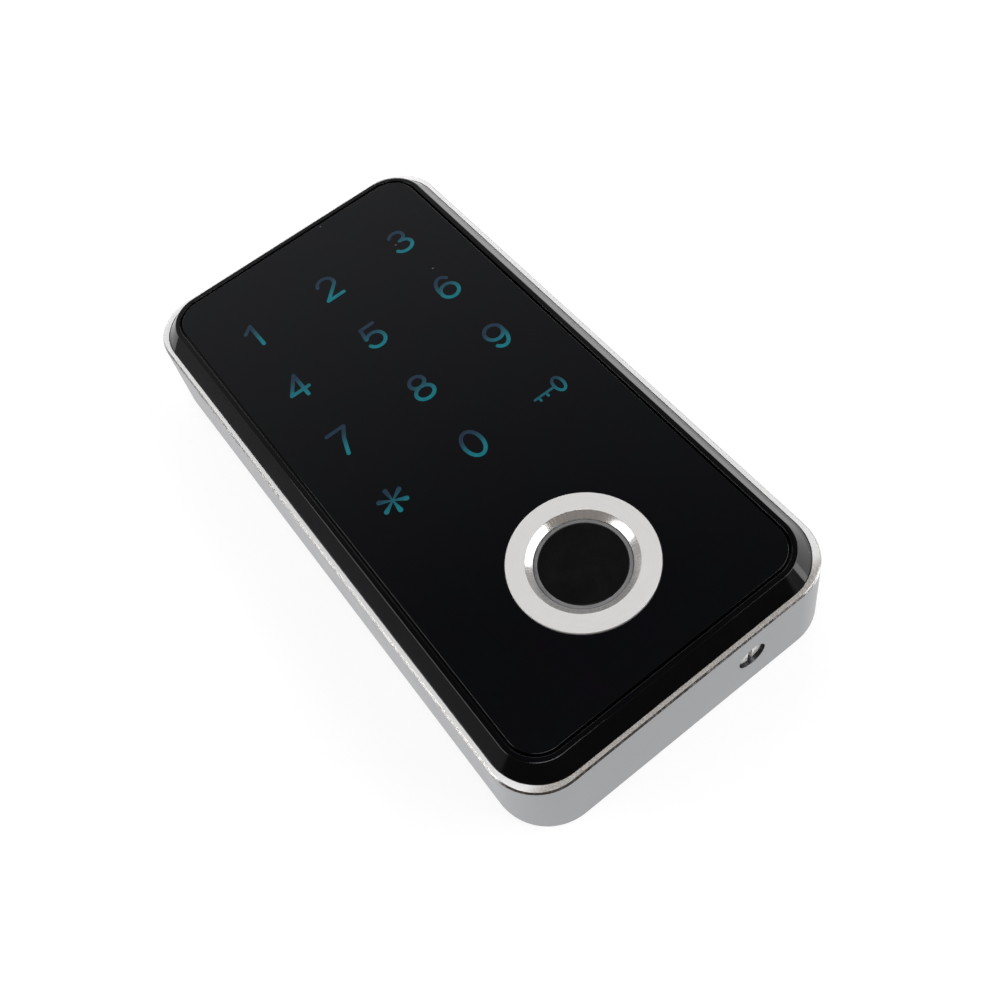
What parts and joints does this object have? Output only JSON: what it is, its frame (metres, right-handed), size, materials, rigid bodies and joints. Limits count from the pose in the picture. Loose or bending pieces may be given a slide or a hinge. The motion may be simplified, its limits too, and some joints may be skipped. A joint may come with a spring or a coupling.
{
  "type": "fingerprint scanner terminal",
  "caption": "Slim wall-mounted access terminal with a lit touch keypad, a ringed fingerprint sensor and a metal case locked to a wall plate by a screw.",
  "frame": {"origin": "centre of the rear plane, which lies against the wall", "axes": "+X to the right, +Y towards the top row of keys, +Z out of the front face"},
  "size_m": [0.061, 0.118, 0.0183],
  "materials": {
    "case_metal": "satin chrome plating on a zinc casting, with a finely cut rim",
    "bezel_gloss": "piano black",
    "lens_gloss": "piano black, flat",
    "adhesive_foam": "black adhesive foam",
    "legend_glow": "translucent legend, lit blue-green from behind",
    "diffuser_white": "milky white",
    "circuit_board": "green solder mask",
    "led_package": "white body with a yellow dome",
    "chip_black": "moulded epoxy",
    "ring_metal": "finely turned face with a polished chamfer",
    "seal_rubber": "moulded rubber",
    "nut_metal": "nickel-plated brass",
    "frame_grey": "matt grey",
    "window_black": "satin black coating",
    "connector_ivory": "ivory plastic",
    "ribbon_film": "amber film",
    "can_metal": "tinned can",
    "relay_blue": "blue plastic",
    "plastic_black": "moulded, fine texture",
    "capacitor_sleeve": "shrunk sleeve",
    "pin_gold": "gold flash",
    "terminal_green": "green plastic",
    "screw_steel": "zinc-plated steel",
    "plunger_white": "natural plastic",
    "button_red": "red plastic",
    "cover_plastic": "moulded, fine spark texture",
    "plate_steel": "zinc-plated sheet steel",
    "screw_bright": "bright plated steel"
  },
  "bodies": {
    "terminal": {"housing": "case_metal", "front_bezel": "bezel_gloss", "touch_lens": "lens_gloss", "lens_adhesive": "adhesive_foam", "key_legends": "legend_glow", "light_diffuser": "diffuser_white", "touch_pcb": "circuit_board", "key_leds": "led_package", "touch_controller": "chip_black", "sensor_ring": "ring_metal", "sensor_gasket": "seal_rubber", "sensor_nut": "nut_metal", "sensor_frame": "frame_grey", "sensor_window": "window_black", "sensor_chip": "chip_black", "sensor_board": "circuit_board", "sensor_connector": "connector_ivory", "sensor_ribbon": "ribbon_film", "main_pcb": "circuit_board", "processor": "chip_black", "flash_memory": "chip_black", "regulator": "chip_black", "crystal": "can_metal", "relay": "relay_blue", "buzzer": "plastic_black", "capacitors": "capacitor_sleeve", "ribbon_socket": "connector_ivory", "board_header": "plastic_black", "header_pins": "pin_gold", "terminal_block": "terminal_green", "terminal_screws": "screw_steel", "tamper_switch": "plastic_black", "reset_switch": "plastic_black", "rear_cover": "cover_plastic", "rear_gasket": "seal_rubber", "cover_screws": "screw_steel", "pcb_screws": "screw_steel", "bezel_screws": "screw_steel", "wall_plate": "plate_steel"},
    "tamper_plunger": {"tamper_plunger": "plunger_white"},
    "reset_button": {"reset_button": "button_red"},
    "screw_washer": {"screw_washer": "seal_rubber"},
    "security_screw": {"security_screw": "screw_bright"}
  },
  "joints": [
    {"name": "tamper_press", "type": "slide", "parent": "terminal", "child": "tamper_plunger", "axis": [0, 0, 1], "range_m": [0, 0.0006], "stiffness_N_per_m": 300, "springref_m": -0.001},
    {"name": "reset_press", "type": "slide", "parent": "terminal", "child": "reset_button", "axis": [0, 0, 1], "range_m": [0, 0.0004], "stiffness_N_per_m": 500, "springref_m": -0.0004},
    {"name": "screw_travel", "type": "slide", "parent": "terminal", "child": "screw_washer", "axis": [0, -1, 0], "range_m": [0, 0.0035]},
    {"name": "screw_turn", "type": "hinge", "parent": "screw_washer", "child": "security_screw", "pos_m": [0.0115, -0.0559, 0.0085], "axis": [0, -1, 0], "range_deg": [0, 2520]}
  ],
  "couplings": [
    {"joint": "screw_turn", "follows": "screw_travel", "rad_per_m": 12566}
  ]
}
